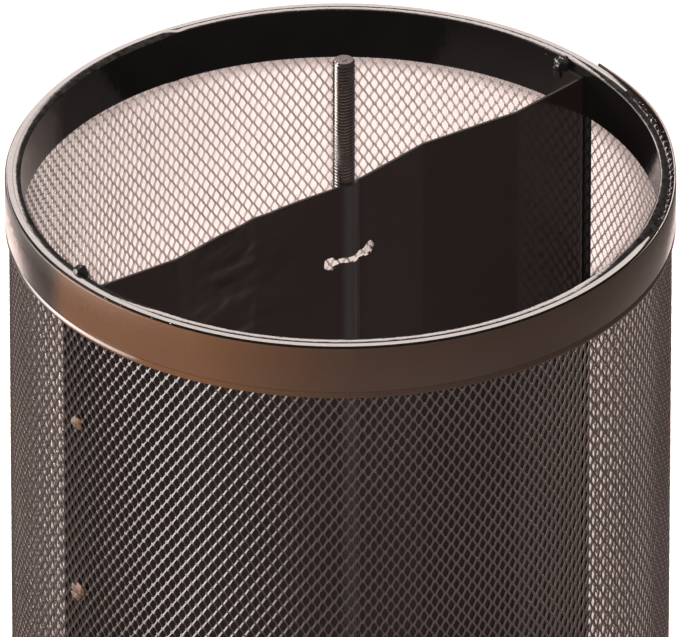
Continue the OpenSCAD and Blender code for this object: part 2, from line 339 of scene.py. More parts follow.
def weld_finish():
    f = Finish("rusty_weld")
    slow = f.noise(380.0, 5.0, 0.65)
    fine = f.noise(1600.0, 4.0, 0.6)
    base = f.mix(f.spread(slow, 0.35, 0.62), rgb(0.012, 0.006, 0.0045), rgb(0.085, 0.040, 0.020))
    base = f.mix(f.spread(fine, 0.68, 0.76), base, rgb(0.2, 0.16, 0.13))
    f.set(Base_Color=base, Roughness=f.spread(slow, 0.3, 0.7, 0.35, 0.75), IOR=1.6)
    f.set(Metallic=f.spread(fine, 0.68, 0.76, 0.0, 0.6))
    f.set(Normal=f.bump(f.math("ADD", slow, fine), 0.8, 0.0003))
    return f.mat


def rubber():
    f = Finish("moulded_rubber")
    fine = f.noise(900.0, 4.0, 0.7)
    scuff = f.spread(f.noise(130.0, 4.0), 0.5, 0.75)
    f.set(Base_Color=f.mix(scuff, rgb(0.018, 0.017, 0.017), rgb(0.085, 0.08, 0.075)))
    f.set(Roughness=f.spread(fine, 0.2, 0.8, 0.55, 0.85), IOR=1.5, Normal=f.bump(fine, 0.35, 0.0002))
    return f.mat


def galvanised():
    """Zinc-coated sheet with spangle and a grey layer of ash on what faces up."""
    f = Finish("galvanised_sheet")
    cells = f.add("ShaderNodeTexVoronoi", {"Vector": f.place, "Scale": 190.0, "Randomness": 1.0})
    tone = f.add("ShaderNodeSeparateColor", {"Color": cells.outputs["Color"]}).outputs["Red"]
    base = f.mix(tone, rgb(0.40, 0.41, 0.42), rgb(0.62, 0.63, 0.64))
    ash = f.math("MULTIPLY", f.spread(f.up(), 0.4, 0.95), f.spread(f.noise(45.0, 5.0, 0.65), 0.38, 0.62))
    base = f.mix(ash, base, rgb(0.20, 0.19, 0.18))
    fine = f.noise(1500.0, 3.0)
    f.set(Base_Color=base, Metallic=f.spread(ash, 0.0, 1.0, 1.0, 0.0))
    f.set(Roughness=f.math("ADD", f.spread(tone, 0.0, 1.0, 0.28, 0.46), f.math("MULTIPLY", ash, 0.4)))
    f.set(Normal=f.bump(f.math("ADD", fine, f.math("MULTIPLY", tone, 0.4)), 0.25, 0.0001))
    return f.mat


HOOP_PAINT = enamel("hoop_enamel", rgb(0.0016, 0.0014, 0.0014), rgb(0.0032, 0.0027, 0.0026), 0.11, 1.38,
                    peel=0.3, chips=1.0)
# The band's brown, strongest on one side and fading round the front, is a painted warm reflection.
BAND_PAINT = enamel("band_lacquer", rgb(0.0066, 0.0048, 0.0044), rgb(0.0104, 0.0074, 0.0066), 0.14, 1.52,
                    peel=0.1, chips=0.5, dust=0.05, edge_rough=0.5, painted_reflection=rgb(0.066, 0.0300, 0.0140))
# The wall's faces that look inward are painted lighter: painted light.
WALL_PAINT = enamel("wall_enamel", rgb(0.021, 0.0155, 0.0142), rgb(0.029, 0.0213, 0.0195), 0.22, 1.45,
                    peel=0.3, dust=0.05, inward_painted_light=rgb(0.21, 0.170, 0.158))
# The divider's pale strip down the front of the swage is a painted reflection.
SHEET_PAINT = enamel("divider_enamel", rgb(0.0040, 0.0025, 0.0022), rgb(0.0054, 0.0035, 0.0029), 0.12, 1.42,
                     peel=0.25, chips=0.3, dust=0.02, edge_rough=0.5, painted_reflection=rgb(0.0105, 0.0095, 0.0098))
STUD_STEEL = bare_metal("dulled_zinc", rgb(0.33, 0.31, 0.30), rgb(0.42, 0.39, 0.38), 0.2, stained=0.0,
                        strength=0.04, dull_top=1.0)
ZINC = bare_metal("zinc_plate", rgb(0.62, 0.58, 0.56), rgb(0.72, 0.69, 0.67), 0.24, stained=0.3)
PAN_WIRE = bare_metal("bright_wire", rgb(0.55, 0.55, 0.56), rgb(0.66, 0.66, 0.67), 0.3, stained=0.2)
WELD = weld_finish()
RUBBER = rubber()
GALVANISED = galvanised()


# ---- hoops and bands
BUTT_WELD, BASE_WELD = math.radians(81.7), math.radians(-55)
TOP_LEAN = 0.24


def make_hoop(name, node, low, high, weld_at, seed):
    """A flat bar rolled to a ring: rounded edges, a top that leans after the butt weld and at the right."""
    r0, r1, z0, z1 = HOOP_R - HOOP_T, HOOP_R, low.z, high.z
    outline = rounded([(r0, z0, 0.5 * MM), (r1, z0, 0.5 * MM), (r1, z1, 0.25 * MM), (r0, z1, 0.35 * MM)], 4)
    verts, faces = revolve(outline, 420)
    out, wear = [], []
    for x, y, z in verts:
        angle = math.atan2(y, x)
        bead = math.exp(-(signed(angle - weld_at) * HOOP_R / (2.2 * MM)) ** 2)
        r = math.hypot(x, y)
        edge = 1.0 - min(1.0, min(r - r0, r1 - r) / (0.7 * MM)) if z > (z0 + z1) / 2 else 0.2
        inward = (0.35 * bead * MM if r < r0 + 0.5 * MM else 0.0) + wobble((x, y, z), 0.05 * MM, 22, seed)
        lift = wobble((x, y, 0), 0.03 * MM, 30, seed + 3) + (0.25 * MM * bead if z > z1 - 1 * MM else 0)
        lift -= bead * 0.05 * MM
        if z > z1 - 1.2 * MM:
            past = math.degrees((angle - weld_at) % (2 * math.pi))
            lift -= TOP_LEAN * min(1.0, past / 2.5) * clamp((114 - past) / 12) * (r1 - r)
            along = math.degrees((angle + math.radians(85)) % (2 * math.pi))
            lift -= TOP_LEAN * min(1.0, along / 14) * clamp((90 - along) / 14) * (r - r0)
        scale = (r - inward) / r
        out.append((x * scale, y * scale, min(z + lift, high.z + 0.3 * MM)))
        wear.append(0.55 * max(0.0, edge) + 0.2 * bead)
    mesh = to_mesh(name, out, faces)
    attribute(mesh, "wear", wear)
    return settle(link(name, mesh), HOOP_PAINT, "bin", [node])


LAP_START, LAP_RAMP, TONGUE = math.radians(-40), math.radians(27), math.radians(-8)


def lap_lift(angle):
    """How far the band stands out at an angle from -90 to 0 degrees, where its sprung end laps the other."""
    t = clamp((angle - LAP_START) / LAP_RAMP)
    return (LAP_OUT - 0.02 * MM) * t * t * (3 - 2 * t)


HEM, HEM_STEP, HEM_DROP = 2.0 * MM, 0.9 * MM, 2.8 * MM
# The first value is the turn where the band's painted warm reflection is strongest.
WARM_REFLECTION_AT, NOISE_R = math.radians(-130), 0.12


def painted_warm_reflection(angle):
    """How strong the painted warm reflection in the band's lacquer is: full on one side, and fading round the
    front.
    """
    turn = math.degrees(signed(WARM_REFLECTION_AT - angle))
    return min(clamp((60 - turn) / 5), 0.14 + 0.86 * clamp((turn + 8) / 34) ** 1.6)


def make_band(name, node, low, high, hem_down, seed):
    """One strip of sheet round the mesh, with a small hem on one edge and its ends lapped at the right."""
    r0, r1, z0, z1 = BAND_R - BAND_T, BAND_R, low.z, high.z
    if hem_down:
        z0 -= HEM_DROP
    else:
        z1 += HEM_DROP
    side = [
        (r0 - 0.1 * MM, z0, 0.15 * MM), (r1 - 0.25 * MM, z0, 0.2 * MM),
        (r1 + 0.02 * MM, z0 + 0.4 * HEM, 0.6 * MM), (r1 - 0.45 * MM, z0 + HEM, 0.15 * MM),
        (r1 - HEM_STEP, z0 + HEM + 0.1 * MM, 0.04 * MM),
        (r1 - HEM_STEP, z0 + HEM + 0.7 * MM, 0.04 * MM), (r1 - 0.05 * MM, z0 + HEM + 0.9 * MM, 0.2 * MM),
        (r1, z1, 0.4 * MM), (r0, z1, 0.3 * MM),
    ]
    if not hem_down:
        side = [(r, z0 + z1 - z, c) for r, z, c in reversed(side)]
    outline = rounded(side, 3)
    n, steps = len(outline), 500
    verts, wear, tone = [], [], []
    for s in range(steps + 1):
        a = TONGUE + (2 * math.pi - TONGUE) * s / steps
        back = a - 2 * math.pi
        lift = lap_lift(back) if back > math.radians(-90) else 0.0
        tuck = 0.15 * MM * clamp(-a / math.radians(8)) if a < 0 else 0.0
        end = max(0.0, 1 - abs(s - steps) / 4)
        c, d = math.cos(a), math.sin(a)
        for r, z in outline:
            rr = r + lift - tuck + wobble((c * NOISE_R, d * NOISE_R, z), 0.05 * MM, 14, seed)
            rr = min(rr, BAND_R + LAP_OUT + 0.1 * MM)
            verts.append((rr * c, rr * d, z + wobble((c * NOISE_R, d * NOISE_R, 0), 0.12 * MM, 16, seed + 9)))
            rubbed = r > r1 - 0.3 * MM and (z > z1 - 0.5 * MM or z < z0 + 1 * MM)
            wear.append(max(end, 0.45 if rubbed else 0.0))
            # painted reflection: a warm brown painted into the band's lacquer, strongest on one side
            tone.append(painted_warm_reflection(a))
    faces = loft(steps + 1, n) + [list(range(n)), [steps * n + i for i in range(n)]]
    mesh = to_mesh(name, verts, faces)
    attribute(mesh, "wear", wear)
    attribute(mesh, "painted_reflection", tone)
    return settle(link(name, mesh), BAND_PAINT, "bin", [node])


make_hoop("rim_hoop", "top_hoop", hoop_low, hoop_high, BUTT_WELD, 1.0)
make_hoop("base_hoop", "bottom_hoop", foot_hoop_low, foot_hoop_high, BASE_WELD, 5.0)
RAGGED, RAGGED_HALF = math.radians(-36), math.radians(26)


def raggedness(angle):
    """1 where the mesh's cut ends show between the hoop and the band, 0 where the paint covers them."""
    return math.exp(-(signed(angle - RAGGED) / RAGGED_HALF) ** 4)


def make_seam_fill():
    """Paint that fills the seam level with the hoop's top, and sinks to a rough groove at the right."""
    r0, r1, seg = HOOP_R - 0.15 * MM, BAND_R - BAND_T + 0.15 * MM, 900
    verts = []
    for s in range(seg):
        a = 2 * math.pi * s / seg
        rag = raggedness(a)
        c, d = math.cos(a), math.sin(a)
        here = (c * NOISE_R, d * NOISE_R, 0)
        top = band_high.z + 0.25 * MM - 1.1 * MM * rag + wobble(here, (0.05 + 0.12 * rag) * MM, 330, 4.0)
        top += wobble(here, 0.15 * MM, 60, 9.0)
        top += (1 - rag) * (hoop_high.z - 0.12 * MM - top)
        for r, h in ((r0, top - 2.5 * MM), (r1, top - 2.5 * MM), (r1, top),
                     ((r0 + r1) / 2, top - 0.7 * MM * rag), (r0, top + 0.1 * MM * rag)):
            verts.append((r * c, r * d, min(h, RIM_Z - 0.05 * MM)))
    mesh = to_mesh("rim_seam_paint", verts, loft(seg, 5, True))
    attribute(mesh, "wear", np.zeros(len(mesh.vertices)))
    settle(link("rim_seam_paint", mesh), HOOP_PAINT, "bin")


make_seam_fill()
make_band("rim_band", "top_band", band_low, band_high, True, 2.0)
make_band("base_band", "bottom_band", foot_band_low, foot_band_high, False, 6.0)


# ---- repeats, by Geometry Nodes
def repeat_tree():
    """Copies of one piece in rows round the upright axis: every second row is turned by half a step."""
    tree = bpy.data.node_groups.new("rows_round_an_axis", "GeometryNodeTree")
    face = tree.interface
    face.new_socket("Geometry", in_out="OUTPUT", socket_type="NodeSocketGeometry")
    for label, kind in (("Piece", "Object"), ("Columns", "Int"), ("Rows", "Int"), ("First column", "Float"),
                        ("Step angle", "Float"), ("Lowest row", "Float"), ("Row height", "Float"),
                        ("Radial jitter", "Float"), ("Seed", "Int"), ("Material", "Material")):
        face.new_socket(label, in_out="INPUT", socket_type="NodeSocket" + kind)
    given = tree.nodes.new("NodeGroupInput").outputs

    def add(kind, inputs=None, **props):
        return add_node(tree, kind, inputs, **props)

    def calc(how, a, b=0.0):
        return add("ShaderNodeMath", {0: a, 1: b}, operation=how).outputs[0]

    def combine(x, y, z):
        return add("ShaderNodeCombineXYZ", {0: x, 1: y, 2: z}).outputs[0]

    nudged = calc("ADD", add("GeometryNodeInputIndex").outputs[0], 0.5)
    row = calc("FLOOR", calc("DIVIDE", nudged, given["Columns"]))
    column = calc("FLOOR", calc("SUBTRACT", nudged, calc("MULTIPLY", row, given["Columns"])))
    half = calc("MULTIPLY", calc("MODULO", row, 2.0), 0.5)
    turns = calc("ADD", calc("ADD", column, half), given["First column"])
    angle = calc("MULTIPLY", turns, given["Step angle"])
    height = calc("ADD", calc("MULTIPLY", row, given["Row height"]), given["Lowest row"])
    points = add("GeometryNodePoints", {"Count": calc("MULTIPLY", given["Columns"], given["Rows"]),
                                        "Position": combine(0.0, 0.0, height)})
    piece = add("GeometryNodeObjectInfo", {"Object": given["Piece"]}).outputs["Geometry"]
    wild = add("FunctionNodeRandomValue", {
        2: calc("SUBTRACT", 1.0, given["Radial jitter"]), 3: calc("ADD", 1.0, given["Radial jitter"]),
        "Seed": given["Seed"]
    }, data_type="FLOAT").outputs[1]
    copies = add("GeometryNodeInstanceOnPoints", {
        "Points": points.outputs[0], "Instance": piece, "Rotation": combine(0.0, 0.0, angle),
        "Scale": combine(wild, 1.0, 1.0)
    }).outputs[0]
    real = add("GeometryNodeRealizeInstances", {0: copies}).outputs[0]
    painted = add("GeometryNodeSetMaterial", {"Geometry": real, "Material": given["Material"]}).outputs[0]
    add("NodeGroupOutput", {0: painted})
    return tree


REPEAT = repeat_tree()


def repeated(name, mesh, mat, columns, step, first=0.0, rows=1, lowest=0.0, row_height=0.0, jitter=0.0, seed=1):
    """A plain mesh of a piece's copies round the axis. The piece is modelled where its copy at angle 0 goes."""
    source = link(name + "_source", mesh)
    obj = link(name, bpy.data.meshes.new(name))
    mod = obj.modifiers.new("copies", "NODES")
    mod.node_group = REPEAT
    values = {"Piece": source, "Columns": columns, "Rows": rows, "First column": first, "Step angle": step,
              "Lowest row": lowest, "Row height": row_height, "Radial jitter": jitter, "Seed": seed,
              "Material": mat}
    for item in REPEAT.interface.items_tree:
        if item.in_out == "INPUT":
            mod[item.identifier] = values[item.name]
    obj.update_tag()
    applied(obj, mod).name = name
    bpy.data.objects.remove(source)
    return obj


# ---- expanded-metal wall
COLUMNS, SECTORS, ROWS = 184, 8, 205
STRAND_W, STRAND_T, BOND_H = 0.78 * MM, 0.42 * MM, 0.8 * MM
LEAN, BOND_LEAN, BOND_TILT = math.radians(30), math.radians(16), 0.14 * MM


def strand_cell():
    """One bond of the expanded metal with the two strands that leave it upwards, as closed prisms."""
    radius = WALL_R - WALL_T / 2
    step = 2 * math.pi / COLUMNS
    row = (wall_high.z - wall_low.z - BOND_H) / ROWS
    verts, faces = [], []

    def ring(angle, offset, z, w, t, lean=LEAN, sink=0.0):
        wide = Vector((math.sin(lean), math.cos(lean)))
        thick = Vector((math.cos(lean), -math.sin(lean)))
        base = len(verts)
        for a, b in ((1, 1), (-1, 1), (-1, -1), (1, -1)):
            p = wide * (offset + a * w / 2) + thick * (b * t / 2)
            x, y = radius + p.x - sink, p.y
            c, s = math.cos(angle), math.sin(angle)
            verts.append((x * c - y * s, x * s + y * c, z))
        return base

    def prism(one, two):
        for i in range(4):
            j = (i + 1) % 4
            faces.append((one + i, one + j, two + j, two + i))
        faces.append((one, one + 3, one + 2, one + 1))
        faces.append((two, two + 1, two + 2, two + 3))

    knuckle = (2.0 * STRAND_W, STRAND_T * 1.35, BOND_LEAN)
    prism(ring(0, 0, -BOND_H / 2, *knuckle, -BOND_TILT), ring(0, 0, BOND_H / 2, *knuckle, BOND_TILT))
    sink = 0.12 * MM
    for side in (1, -1):
        start = ring(0, side * STRAND_W / 2, BOND_H / 2 - sink, STRAND_W, STRAND_T)
        end = ring(side * step / 2, -side * STRAND_W / 2, row - BOND_H / 2 + sink, STRAND_W, STRAND_T)
        prism(start, end)
    return to_mesh("strand_cell", verts, faces), step, row


cell, cell_step, cell_row = strand_cell()
for k in range(SECTORS):
    sector = repeated(f"wall_mesh_{k + 1}", cell.copy(), WALL_PAINT, COLUMNS // SECTORS, cell_step,
                      k * COLUMNS / SECTORS, ROWS, wall_low.z + BOND_H / 2, cell_row, 0.0004, 10 + k)
    sector.data.materials.clear()
    sector.data.materials.append(WALL_PAINT)
    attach(sector, "bin")
    if k == 0:
        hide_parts("mesh_wall")


# ---- divider
def smooth_path(points, spacing, soft):
    """A polyline taken at even spacing with its corners eased over about the length soft."""
    pts = [Vector(p) for p in points]
    dense = []
    for a, b in zip(pts, pts[1:]):
        n = max(1, int((b - a).length / (0.2 * MM)))
        dense += [a.lerp(b, k / n) for k in range(n)]
    dense.append(pts[-1])
    co = np.array([tuple(p) for p in dense])
    reach = max(1, int(soft / (0.2 * MM)))
    pad = np.vstack([np.repeat(co[:1], reach, 0), co, np.repeat(co[-1:], reach, 0)])
    window = np.hanning(2 * reach + 1)
    window /= window.sum()
    eased = np.stack([np.convolve(pad[:, i], window, "valid") for i in (0, 1)], 1)
    eased[0], eased[-1] = co[0], co[-1]
    length = np.concatenate([[0], np.cumsum(np.linalg.norm(np.diff(eased, axis=0), axis=1))])
    at = np.linspace(0, length[-1], int(length[-1] / spacing) + 1)
    return np.stack([np.interp(at, length, eased[:, i]) for i in (0, 1)], 1)


FOLD, FOLD_FRONT, FOLD_BACK, END_FRONT, FLANGE = 39.5 * MM, 4 * MM, 1 * MM, 0.4 * MM, 14 * MM
SWAGE_R, SWAGE_FRONT, SWAGE_FLAT = 4.7 * MM, 3.0 * MM, 6.0 * MM
SLOT_Z, SLOT_PITCH, SLOT_HOLE, SLIT = RIM_Z - 34 * MM, 17.8 * MM, 5.4 * MM, 2.7 * MM


def divider_path():
    mid_r = SHEET_R - SHEET_T / 2
    turn = FLANGE / SHEET_R
    left = [(-mid_r * math.cos(turn * (1 - k / 8)), mid_r * math.sin(turn * (1 - k / 8))) for k in range(9)]
    right = [(-x, y) for x, y in reversed(left)]
    half = math.acos(SWAGE_FRONT / SWAGE_R)
    arc = [(STUD_X + SWAGE_R * math.sin(half * (k / 8 - 1)), -SWAGE_R * math.cos(half * (k / 8 - 1)))
           for k in range(17)]
    return left + [
        (-mid_r, -END_FRONT), (-2 * FOLD, -FOLD_FRONT), (-FOLD, FOLD_BACK), (STUD_X - SWAGE_FLAT, -SWAGE_FRONT)
    ] + arc + [
        (STUD_X + SWAGE_FLAT, -SWAGE_FRONT), (FOLD, FOLD_BACK), (2 * FOLD, -FOLD_FRONT), (mid_r, -END_FRONT)
    ] + right


def dents(x, z):
    """The crumpled patch on the second panel, and a slight warp all over."""
    depth = RIM_Z - z
    patch = math.exp(-(((x + 50 * MM) / (24 * MM)) ** 4)) * math.exp(-((depth - 18 * MM) / (34 * MM)) ** 4)
    p = Vector((x * 40, z * 105, 3.1))
    ridge = noise.noise(p) + 0.5 * noise.noise(p * 2.3) + 0.28 * noise.noise(p * 4.9)
    sharp = 1.0 - 2.0 * abs(noise.noise(Vector((x * 36 + 8, z * 88, 7.7))))
    warp = 0.25 * MM * noise.noise(Vector((x * 22, z * 12, 1.3)))
    return patch * (1.1 * ridge + 1.2 * sharp) * MM + warp


def make_divider():
    path = smooth_path(divider_path(), 1.0 * MM, 1.0 * MM)
    top, bottom = sheet_high.z, sheet_low.z
    fine = top - 86 * MM
    levels = list(np.linspace(bottom, fine, 64)[:-1]) + list(np.linspace(fine, top, 68))
    along = np.gradient(path, axis=0)
    along /= np.linalg.norm(along, axis=1)[:, None]
    side = np.stack([along[:, 1], -along[:, 0]], 1)
    n = len(path)
    clear_z = disc_high.z + 0.4 * MM
    tuck = 1.6 * MM
    m = len(levels)
    verts = []
    for sign in (1, -1):
        for z in levels:
            for i, (x, y) in enumerate(path):
                free = clamp((SHEET_R - 8 * MM - abs(x)) / (12 * MM))
                calm = min(1.0, abs(x - STUD_X) / (9 * MM))
                push = sign * SHEET_T / 2 + dents(x, z) * free * calm
                px, py = x + side[i, 0] * push, y + side[i, 1] * push
                reach = math.hypot(px, py)
                limit = SHEET_R - (tuck if z < clear_z else 0)
                if reach > limit:
                    px, py = px * limit / reach, py * limit / reach
                verts.append((px, py, z))

    def quad(*corners):
        """A face from (side, place along the sheet, level) corners."""
        return tuple((half * m + j) * n + i for half, i, j in corners)

    faces = []
    for i in range(n - 1):
        for j in range(m - 1):
            faces.append(quad((0, i, j), (0, i + 1, j), (0, i + 1, j + 1), (0, i, j + 1)))
            faces.append(quad((1, i, j + 1), (1, i + 1, j + 1), (1, i + 1, j), (1, i, j)))
    for i in range(n - 1):
        faces.append(quad((1, i, 0), (1, i + 1, 0), (0, i + 1, 0), (0, i, 0)))
        faces.append(quad((0, i, m - 1), (0, i + 1, m - 1), (1, i + 1, m - 1), (1, i, m - 1)))
    for j in range(m - 1):
        faces.append(quad((0, 0, j), (0, 0, j + 1), (1, 0, j + 1), (1, 0, j)))
        faces.append(quad((1, n - 1, j), (1, n - 1, j + 1), (0, n - 1, j + 1), (0, n - 1, j)))
    obj = link("divider_sheet", to_mesh("divider_sheet", verts, faces))
    cutter = link("slot_cutter", slot_tool())
    cut = obj.modifiers.new("slot", "BOOLEAN")
    cut.operation, cut.object, cut.solver = "DIFFERENCE", cutter, "EXACT"
    made = applied(obj, cut)
    bpy.data.objects.remove(cutter)
    co = positions(made)
    # painted reflection: a pale strip down the swage's front, just left of the stud
    swage_painted_reflection = np.exp(-((co[:, 0] - STUD_X + 0.6 * MM) / (2.6 * MM)) ** 4)
    attribute(made, "painted_reflection", swage_painted_reflection * (co[:, 1] < -2.6 * MM))
    attribute(made, "wear", np.clip((co[:, 2] - (top - 0.8 * MM)) / (0.8 * MM), 0, 1) * 0.9)
    return settle(obj, SHEET_PAINT, "bin", ["divider"], 40)


def slot_tool():
    """A bar with a round head at each end, as the slot and its relief holes were cut."""
    outline = []
    r, h = SLOT_HOLE / 2, SLIT / 2
    start = math.asin(h / r)
    for side in (1, -1):
        for k in range(15):
            a = -math.pi + start + (2 * math.pi - 2 * start) * k / 14
            rough = 1 + 0.07 * math.sin(5 * a + side)
            outline.append((side * (SLOT_PITCH / 2 + r * rough * math.cos(a)), side * r * rough * math.sin(a)))
    verts, n = [], len(outline)
    for y in (-12 * MM, 12 * MM):
        for x, z in outline:
            bow = -0.9 * MM * (1 - (x / (SLOT_PITCH / 2)) ** 2)
            verts.append((STUD_X + x, y, SLOT_Z + z + bow))
    faces = [(i, (i + 1) % n, n + (i + 1) % n, n + i) for i in range(n)]
    faces += [list(range(n)), [n + i for i in range(n)]]
    return to_mesh("slot_tool", verts, faces)


make_divider()


# ---- stud
PITCH, THREAD, CHAMFER = 1.25 * MM, 0.62 * MM, 0.8 * MM


def make_stud():
    """An M8 threaded stud: a helix of crests and roots, chamfered at the top, with a centre mark."""
    around = 40
    z0, z1 = stud_low.z, stud_high.z
    root = STUD_R - THREAD - 0.1 * MM
    profile = [(0.0, THREAD), (0.16, THREAD), (0.44, 0.0), (0.58, 0.0), (0.86, THREAD)]
    verts, faces = [], []
    rows = [(t, k) for t in range(-1, int((z1 - z0) / PITCH) + 1) for k in range(len(profile))]
    for t, k in rows:
        frac, dip = profile[k]
        for s in range(around):
            a = 2 * math.pi * s / around
            z = min(max(z0 + (t + frac + s / around) * PITCH, z0), z1)
            r = STUD_R - dip
            r = min(r, root + (z1 - z)) if z > z1 - CHAMFER else r
            r = min(r, root + (z - z0)) if z < z0 + CHAMFER else r
            verts.append((STUD_X + r * math.cos(a), r * math.sin(a), z))
    for q in range(len(rows) - 1):
        for s in range(around - 1):
            faces.append((q * around + s, q * around + s + 1, (q + 1) * around + s + 1, (q + 1) * around + s))
    step = len(profile)
    for q in range(len(rows) - step - 1):
        a, b = q * around + around - 1, (q + 1) * around + around - 1
        faces.append((a, (q + step) * around, (q + step + 1) * around, b))
    bm = to_bmesh(verts, faces, 2e-6)
    bmesh.ops.dissolve_degenerate(bm, edges=bm.edges, dist=1e-6)
    # the ends: a shallow dish with a small drilled mark
    core = STUD_R - THREAD - 0.02 * MM
    rings = [(core, 0.0), (core * 0.62, 0.0), (core * 0.55, -0.12 * MM), (core * 0.3, -0.16 * MM),
             (core * 0.24, 0.02 * MM), (0.0, 0.05 * MM)]
    for z, up in ((z1, 1), (z0, -1)):
        last = None
        for r, drop in rings:
            level = z + up * (drop - 0.06 * MM)
            now = []
            for s in range(around if r else 1):
                a = 2 * math.pi * s / around
                now.append(bm.verts.new((STUD_X + r * math.cos(a), r * math.sin(a), level)))
            if last:
                for s in range(around):
                    t = (s + 1) % around
                    quad = [last[s], last[t]] + ([now[t], now[s]] if len(now) > 1 else [now[0]])
                    bm.faces.new(quad if up > 0 else quad[::-1])
            last = now
    bmesh.ops.recalc_face_normals(bm, faces=bm.faces)
    mesh = from_bmesh("threaded_stud", bm)
    return settle(link("threaded_stud", mesh), STUD_STEEL, "bin", ["stud"], 38)


make_stud()


# ---- weld beads
def lump(bm, centre, axes, sizes, seed, rough=0.22, level=3):
    """A rounded, uneven bead with three half sizes along three directions."""
    made = bmesh.ops.create_icosphere(bm, subdivisions=level, radius=1.0)["verts"]
    for v in made:
        p = v.co.copy()
        k = 1 + rough * noise.noise(p * 1.7 + Vector((seed, 0, seed)))
        k += 0.4 * rough * noise.noise(p * 4.5 + Vector((seed,) * 3))
        q = Vector((0, 0, 0))
        for axis, size, c in zip(axes, sizes, p):
            q += Vector(axis) * (size * c * k)
        v.co = Vector(centre) + q


def beads(name, places, mat, nodes, body="bin", rough=0.22, level=3):
    """One piece of many lumps, each at a (centre, axes, half sizes) place."""
    bm = bmesh.new()
    for i, (centre, axes, sizes) in enumerate(places):
        lump(bm, centre, axes, sizes, 3.7 * i + 1.3, rough, level)
    mesh = from_bmesh(name, bm)
    attribute(mesh, "wear", np.full(len(mesh.vertices), 0.5))
    return settle(link(name, mesh), mat, body, nodes, 80)


def polar(angle, radius, z):
    return (radius * math.cos(angle), radius * math.sin(angle), z)


LEVEL_AXES = ((1, 0, 0), (0, 1, 0), (0, 0, 1))


def wall_axes(angle):
    return ((math.cos(angle), math.sin(angle), 0), (-math.sin(angle), math.cos(angle), 0), (0, 0, 1))


def mirrored(angle):
    return math.pi - angle


CORNER = 10 * MM / SHEET_R
corner_places = []
for side, angle in ((1, mirrored(CORNER)), (0, CORNER)):
    out, up, on = side * 1.6 * MM, side * 1.0 * MM, side * math.radians(1.3)
    corner_places.append((polar(angle + on, SHEET_R - 1.2 * MM + out, sheet_high.z + 1.2 * MM + up),
                          wall_axes(angle), (2.8 * MM, 3.3 * MM, 3.2 * MM)))
    corner_places.append((polar(angle + 0.02, SHEET_R - 0.8 * MM, sheet_high.z - 2.5 * MM), wall_axes(angle),
                          (1.4 * MM, 2.2 * MM, 3.4 * MM)))
beads("corner_beads", corner_places, HOOP_PAINT, ["corner_welds"], rough=0.18, level=4)

SEAM, SPOTS, FIRST_SPOT, SPOT_STEP = 5 * MM / WALL_R, 8, 61 * MM, 70.5 * MM
rng = random.Random(11)
seam_places = []
for angle in (mirrored(SEAM), SEAM):
    for k in range(SPOTS):
        z = RIM_Z - FIRST_SPOT - k * SPOT_STEP
        for part in range(3):
            a = angle + rng.uniform(-1.3, 1.3) * MM / WALL_R
            seam_places.append((polar(a, WALL_R - 0.35 * MM, z + rng.uniform(-1.6, 1.6) * MM), wall_axes(a),
                                (0.8 * MM, rng.uniform(1.8, 2.8) * MM, rng.uniform(1.7, 2.9) * MM)))
beads("wall_weld_spots", seam_places, WELD, ["seam_welds"], rough=0.45, level=3)

grip = sheet_high.z - stud_low.z
stud_places = []
for side in (-1, 1):
    for at in (0.25, 0.75):
        z = stud_low.z + grip * at
        for k in range(4):
            stud_places.append(((STUD_X + side * 4.9 * MM, -1.9 * MM, z + (k - 1.5) * 2.6 * MM),
                                LEVEL_AXES, (1.0 * MM, 0.9 * MM, 1.9 * MM)))
beads("stud_weld_beads", stud_places, HOOP_PAINT, ["stud_welds"], rough=0.25, level=2)

base_places = []
for i in range(6):
    for k in range(4):
        a = math.radians(30 + 60 * i) + (k - 1.5) * 2.8 * MM / SHEET_R
        base_places.append((polar(a, SHEET_R - 0.8 * MM, disc_high.z + 0.7 * MM), wall_axes(a),
                            (0.9 * MM, 2.0 * MM, 0.9 * MM)))
beads("base_weld_beads", base_places, HOOP_PAINT, ["base_welds"], rough=0.25, level=2)

RIGHT_BURRS, LEFT_BURRS = 85, 10
burr_places = []
for i in range(RIGHT_BURRS + LEFT_BURRS):
    a = RAGGED + rng.gauss(0, 0.36) if i < RIGHT_BURRS else mirrored(SEAM) + rng.gauss(0.25, 0.2)
    z = band_high.z + rng.uniform(-0.5, 0.45) * MM
    burr_places.append((polar(a, rng.uniform(HOOP_R + 0.1 * MM, BAND_R - 0.5 * MM), z), wall_axes(a),
                        (rng.uniform(0.15, 0.35) * MM, rng.uniform(0.2, 0.6) * MM, rng.uniform(0.15, 0.4) * MM)))
beads("cut_mesh_ends", burr_places, STUD_STEEL, [], rough=0.6, level=1)


# ---- base, feet and fasteners
def make_base():
    """A pressed disc with a turned-up edge."""
    r, z0, z1, t, bend = disc_high.x, disc_low.z, disc_high.z, 1.5 * MM, 3 * MM
    outline = [(0.0, z0)]
    for k in range(7):
        a = math.radians(-90 + 15 * k)
        outline.append((r - bend + bend * math.cos(a), z0 + bend + bend * math.sin(a)))
    outline += [(r, z1 - 0.4 * MM), (r - 0.4 * MM, z1), (r - t + 0.4 * MM, z1), (r - t, z1 - 0.4 * MM)]
    for k in range(7):
        a = math.radians(-15 * k)
        outline.append((r - bend + (bend - t) * math.cos(a), z0 + bend + (bend - t) * math.sin(a)))
    outline.append((0.0, z0 + t))
    mesh = to_mesh("base_plate", *revolve(outline, 160, False))
    attribute(mesh, "wear", np.zeros(len(mesh.vertices)))
    settle(link("base_plate", mesh), HOOP_PAINT, "bin", ["base_disc"])


make_base()


